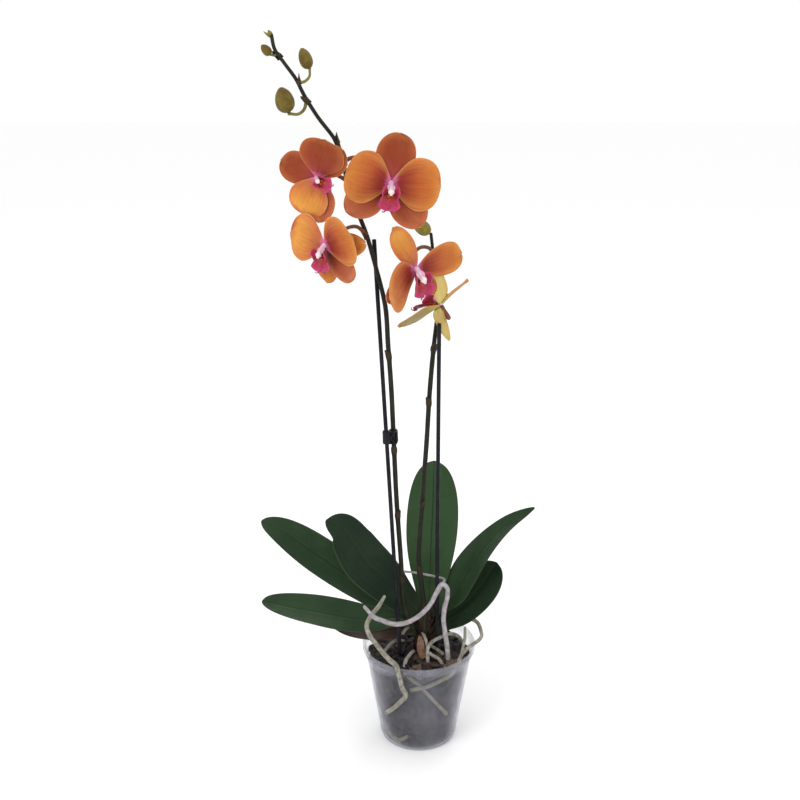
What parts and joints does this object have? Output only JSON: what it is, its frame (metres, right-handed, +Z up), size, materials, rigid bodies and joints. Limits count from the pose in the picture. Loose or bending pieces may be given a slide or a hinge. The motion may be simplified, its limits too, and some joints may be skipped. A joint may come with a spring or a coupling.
{
  "type": "potted orchid",
  "caption": "Moth orchid in a clear plastic nursery pot, with two flower spikes on support sticks, broad leaves, aerial roots, orange flowers and buds.",
  "frame": {"origin": "centre of the pot's flat base", "axes": "+Z up along the pot axis; the front of the plant faces -Y; +X to its right as seen from the front"},
  "size_m": [0.292, 0.1514, 0.7223],
  "materials": {
    "clear_plastic": "clear, slightly milky moulded plastic",
    "bark": "dark damp bark chips",
    "stem": "brown-green plant stem",
    "dry_bract": "dry papery bract",
    "leaf": "thick dark green leaf with a soft sheen",
    "leaf_old": "underside of an old leaf, red-brown",
    "spike": "dark green-brown flower spike",
    "stick": "black plastic support stick",
    "clip": "black moulded clip",
    "bud": "waxy yellow-green bud",
    "aerial_root": "silvery white aerial root",
    "wall_root": "tan green root against the pot wall",
    "sepal": "orange-red sepal with fine veins",
    "petal": "orange petal with fine veins",
    "lip": "magenta lip with an orange callus and white column"
  },
  "bodies": {
    "root": {"pot": "clear_plastic", "bark_mix": "bark", "crown": "stem", "dry_bract": "dry_bract", "leaf_left_upper": "leaf", "leaf_left_middle": "leaf", "leaf_left_front": "leaf", "leaf_left_low": "leaf_old", "leaf_back_upright": "leaf", "leaf_right_long": "leaf", "leaf_right_short": "leaf", "spike_left": "spike", "spike_right": "spike", "stick_left": "stick", "stick_right": "stick", "stick_clip": "clip", "bud_large": "bud", "bud_upper": "bud", "bud_small": "bud", "bud_right": "bud", "root_arch": "aerial_root", "root_over_rim": "aerial_root", "root_short": "aerial_root", "root_side": "aerial_root", "root_ring": "aerial_root", "root_wall": "wall_root", "root_wall_cross": "wall_root", "root_foot": "wall_root", "flower_upper_left_dorsal_sepal": "sepal", "flower_upper_left_petal_left": "petal", "flower_upper_left_petal_right": "petal", "flower_upper_left_sepal_left": "sepal", "flower_upper_left_sepal_right": "sepal", "flower_upper_left_lip": "lip", "flower_upper_right_dorsal_sepal": "sepal", "flower_upper_right_petal_left": "petal", "flower_upper_right_petal_right": "petal", "flower_upper_right_sepal_left": "sepal", "flower_upper_right_sepal_right": "sepal", "flower_upper_right_lip": "lip", "flower_lower_left_dorsal_sepal": "sepal", "flower_lower_left_petal_left": "petal", "flower_lower_left_petal_right": "petal", "flower_lower_left_sepal_left": "sepal", "flower_lower_left_sepal_right": "sepal", "flower_lower_left_lip": "lip", "flower_right_dorsal_sepal": "sepal", "flower_right_petal_left": "petal", "flower_right_petal_right": "petal", "flower_right_sepal_left": "sepal", "flower_right_sepal_right": "sepal", "flower_right_lip": "lip", "flower_lower_right_dorsal_sepal": "sepal", "flower_lower_right_petal_left": "petal", "flower_lower_right_petal_right": "petal", "flower_lower_right_sepal_left": "sepal", "flower_lower_right_sepal_right": "sepal", "flower_lower_right_lip": "lip"}
  },
  "joints": []
}
